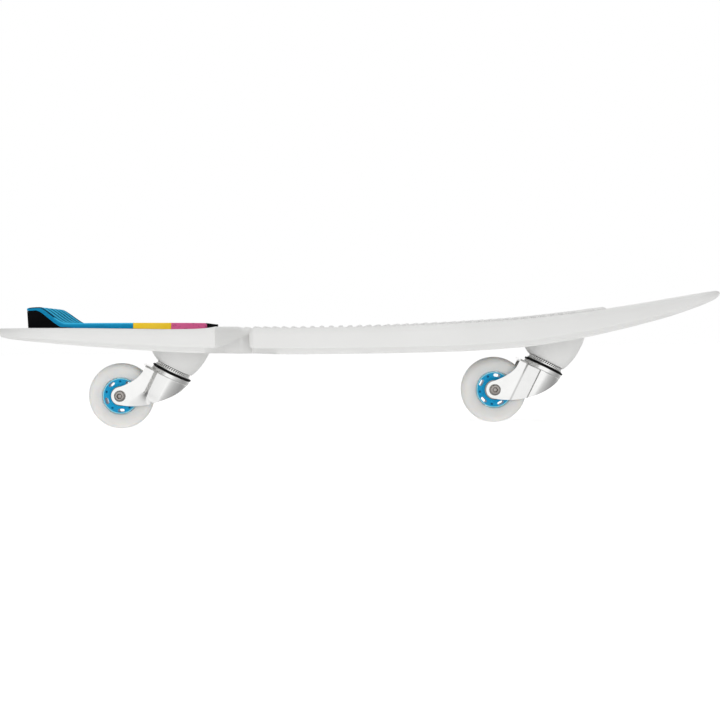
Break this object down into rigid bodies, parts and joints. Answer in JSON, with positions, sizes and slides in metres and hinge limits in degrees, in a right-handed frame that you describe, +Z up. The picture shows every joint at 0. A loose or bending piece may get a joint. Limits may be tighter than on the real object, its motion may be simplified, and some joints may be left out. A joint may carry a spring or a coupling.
{
  "type": "waveboard",
  "caption": "Surf-shaped caster board with a twisting plastic deck, a foam tail pad with a kick, and raked swivel casters.",
  "frame": {"origin": "on the ground under the middle of the deck", "axes": "+X to the nose, +Y to the rider's left when facing the nose, +Z up"},
  "size_m": [0.838, 0.24, 0.1482],
  "materials": {
    "white_plastic": "satin moulded",
    "foam_black": "matt EVA foam",
    "foam_blue": "grooved EVA foam",
    "foam_yellow": "grooved EVA foam",
    "foam_pink": "grooved EVA foam",
    "steel": "zinc plated",
    "chrome": "bright zinc plate",
    "rubber": "matt",
    "core_blue": "satin moulded",
    "urethane": "smooth milky urethane"
  },
  "bodies": {
    "front_deck": {"front_deck": "white_plastic", "front_insert": "steel", "front_upper_cup": "steel", "front_kingpin_washer": "steel", "front_kingpin": "steel"},
    "tail_deck": {"tail_deck": "white_plastic", "kick_core": "foam_black", "pad_blue": "foam_blue", "pad_yellow": "foam_yellow", "pad_pink": "foam_pink", "pad_tip": "foam_black", "rear_insert": "steel", "rear_upper_cup": "steel", "rear_kingpin_washer": "steel", "rear_kingpin": "steel"},
    "rear_caster": {"rear_dust_seal": "rubber", "rear_ball_ring": "steel", "rear_lower_race": "steel", "rear_fork": "chrome", "rear_axle_bolt": "steel", "rear_axle_nut": "steel", "rear_axle_spacer": "steel", "rear_left_washer": "steel", "rear_right_washer": "steel", "rear_left_bearing_inner": "steel", "rear_right_bearing_inner": "steel"},
    "rear_wheel": {"rear_wheel_core": "core_blue", "rear_tyre": "urethane", "rear_left_bearing_outer": "steel", "rear_right_bearing_outer": "steel", "rear_left_bearing_balls": "steel", "rear_right_bearing_balls": "steel"},
    "front_caster": {"front_dust_seal": "rubber", "front_ball_ring": "steel", "front_lower_race": "steel", "front_fork": "chrome", "front_axle_bolt": "steel", "front_axle_nut": "steel", "front_axle_spacer": "steel", "front_left_washer": "steel", "front_right_washer": "steel", "front_left_bearing_inner": "steel", "front_right_bearing_inner": "steel"},
    "front_wheel": {"front_wheel_core": "core_blue", "front_tyre": "urethane", "front_left_bearing_outer": "steel", "front_right_bearing_outer": "steel", "front_left_bearing_balls": "steel", "front_right_bearing_balls": "steel"}
  },
  "joints": [
    {"name": "deck_twist", "type": "hinge", "parent": "front_deck", "child": "tail_deck", "pos_m": [-0.1302, 0, 0.098], "axis": [1, 0, 0], "range_deg": [-10, 10], "stiffness_Nm_per_rad": 60},
    {"name": "rear_swivel", "type": "hinge", "parent": "tail_deck", "child": "rear_caster", "pos_m": [-0.22001, 0, 0.06474], "axis": [0.454, 0, 0.891], "continuous": true},
    {"name": "rear_wheel_spin", "type": "hinge", "parent": "rear_caster", "child": "rear_wheel", "pos_m": [-0.2792, 0, 0.038], "axis": [0, 1, 0], "continuous": true},
    {"name": "front_swivel", "type": "hinge", "parent": "front_deck", "child": "front_caster", "pos_m": [0.21299, 0, 0.06474], "axis": [0.454, 0, 0.891], "continuous": true},
    {"name": "front_wheel_spin", "type": "hinge", "parent": "front_caster", "child": "front_wheel", "pos_m": [0.1538, 0, 0.038], "axis": [0, 1, 0], "continuous": true}
  ]
}
